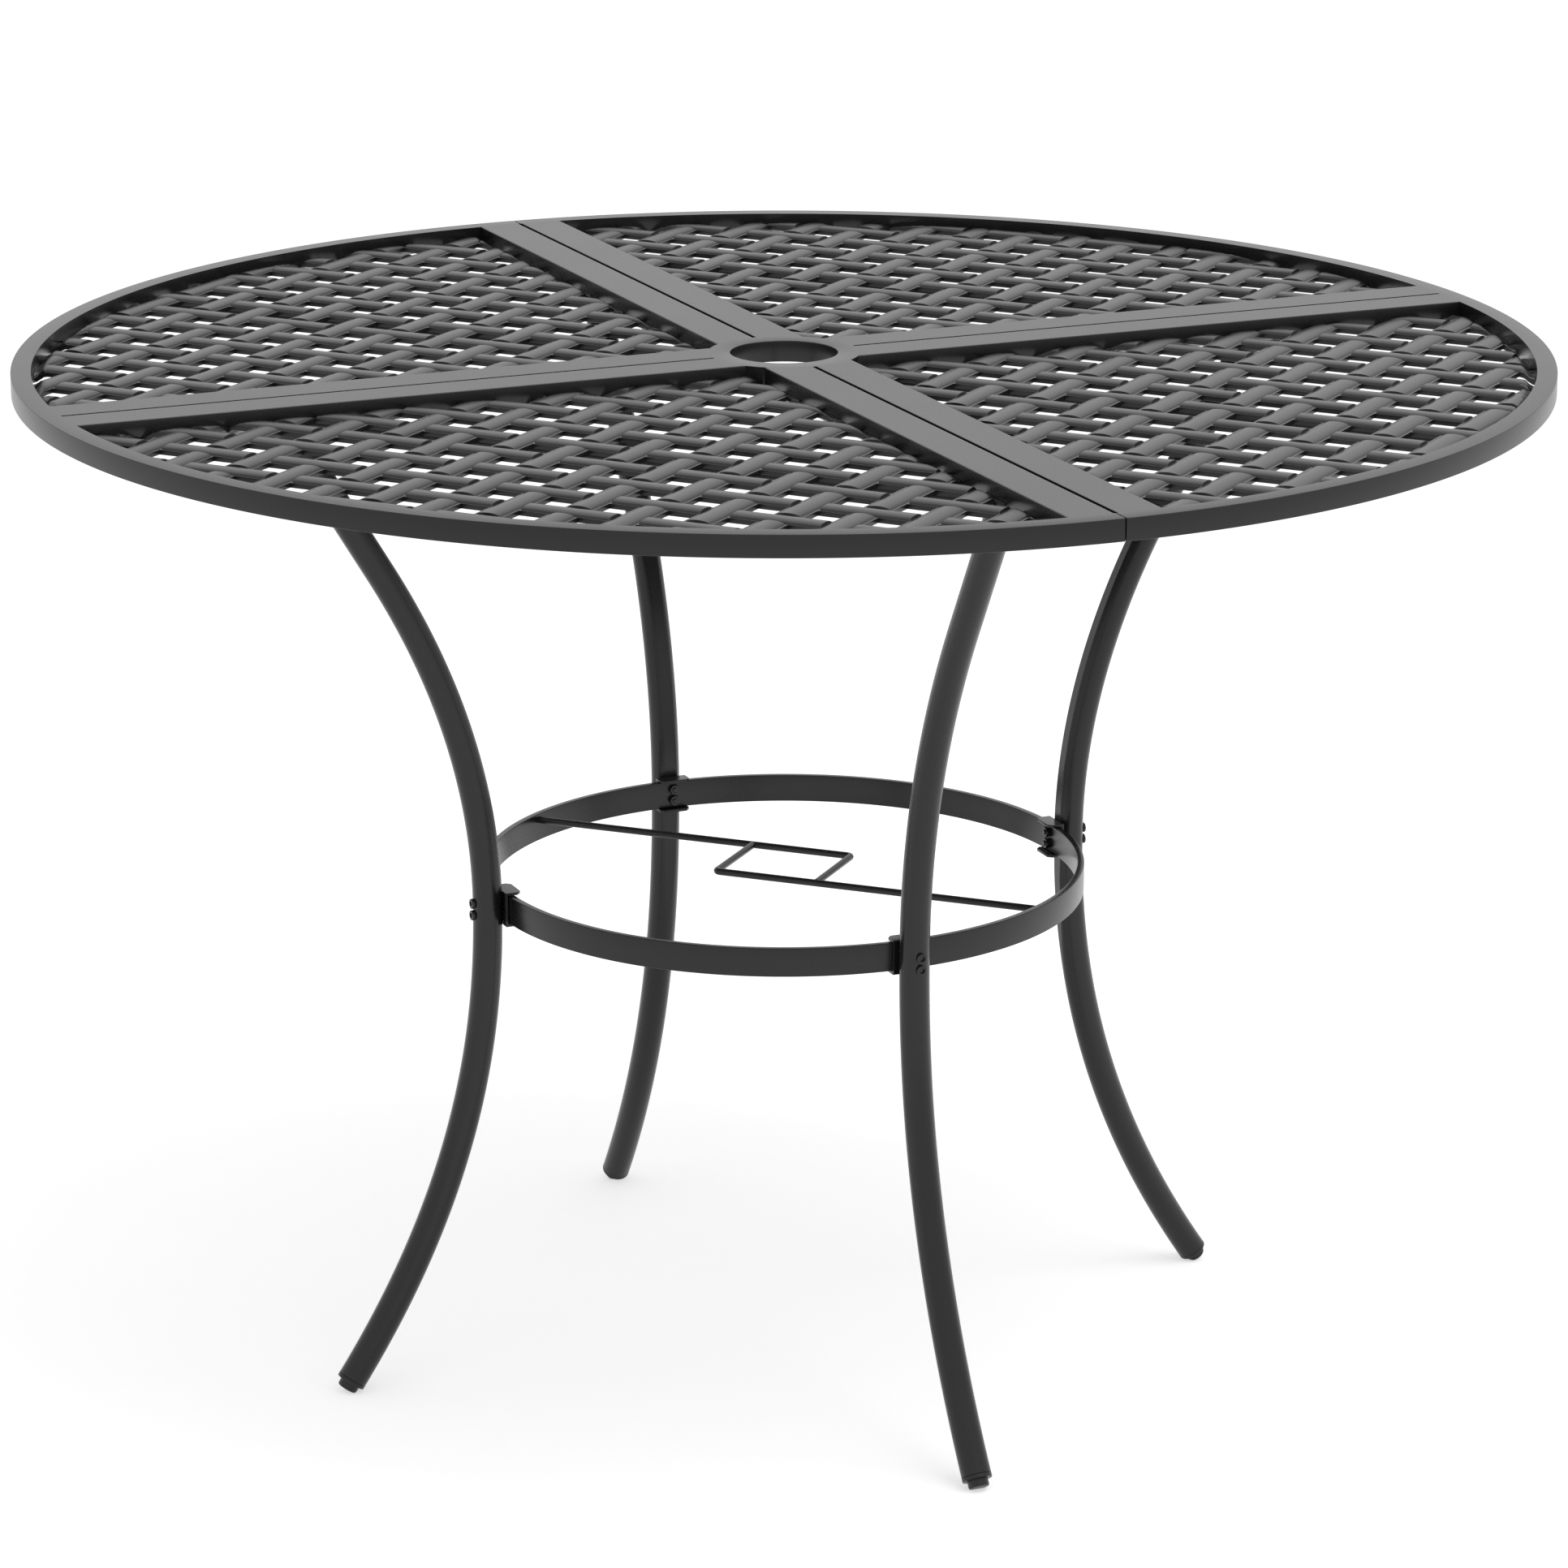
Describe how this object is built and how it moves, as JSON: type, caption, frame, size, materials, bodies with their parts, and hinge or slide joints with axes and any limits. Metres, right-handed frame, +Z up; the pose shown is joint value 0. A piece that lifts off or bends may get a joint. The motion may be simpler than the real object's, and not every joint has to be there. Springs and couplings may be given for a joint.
{
  "type": "umbrella table",
  "caption": "Round metal patio table with woven top panels, a central hole for an umbrella pole, splayed legs tied by a flat ring and a square pole guide.",
  "frame": {"origin": "on the floor, under the centre of the round top", "axes": "+Z up; the seam between the two half tops runs along Y and the cross band along X, with a leg under each end of both"},
  "size_m": [1.067, 1.0668, 0.722],
  "materials": {
    "powder_coat": "dark grey satin powder coat",
    "woven_steel": "dark grey satin powder coat on woven steel strip",
    "fastener_steel": "black coated steel",
    "glide_plastic": "black moulded plastic"
  },
  "bodies": {
    "root": {"clamp_1": "powder_coat", "clamp_2": "powder_coat", "clamp_3": "powder_coat", "clamp_4": "powder_coat", "clamp_bolt_1_lower": "fastener_steel", "clamp_bolt_1_upper": "fastener_steel", "clamp_bolt_2_lower": "fastener_steel", "clamp_bolt_2_upper": "fastener_steel", "clamp_bolt_3_lower": "fastener_steel", "clamp_bolt_3_upper": "fastener_steel", "clamp_bolt_4_lower": "fastener_steel", "clamp_bolt_4_upper": "fastener_steel", "clamp_nut_1_lower": "fastener_steel", "clamp_nut_1_upper": "fastener_steel", "clamp_nut_2_lower": "fastener_steel", "clamp_nut_2_upper": "fastener_steel", "clamp_nut_3_lower": "fastener_steel", "clamp_nut_3_upper": "fastener_steel", "clamp_nut_4_lower": "fastener_steel", "clamp_nut_4_upper": "fastener_steel", "glide_1": "glide_plastic", "glide_2": "glide_plastic", "glide_3": "glide_plastic", "glide_4": "glide_plastic", "leg_1": "powder_coat", "leg_2": "powder_coat", "leg_3": "powder_coat", "leg_4": "powder_coat", "pole_rod_1": "powder_coat", "pole_rod_2": "powder_coat", "rim_half_1": "powder_coat", "rim_half_2": "powder_coat", "seam_bar_2_left": "powder_coat", "seam_bar_2_right": "powder_coat", "seam_bar_4_left": "powder_coat", "seam_bar_4_right": "powder_coat", "spoke_bar_1_left": "powder_coat", "spoke_bar_1_right": "powder_coat", "spoke_bar_3_left": "powder_coat", "spoke_bar_3_right": "powder_coat", "stretcher_ring": "powder_coat", "top_screw_1_left": "fastener_steel", "top_screw_1_right": "fastener_steel", "top_screw_2_left": "fastener_steel", "top_screw_2_right": "fastener_steel", "top_screw_3_left": "fastener_steel", "top_screw_3_right": "fastener_steel", "top_screw_4_left": "fastener_steel", "top_screw_4_right": "fastener_steel", "umbrella_ring": "powder_coat", "woven_panel_1": "woven_steel", "woven_panel_2": "woven_steel", "woven_panel_3": "woven_steel", "woven_panel_4": "woven_steel"}
  },
  "joints": []
}
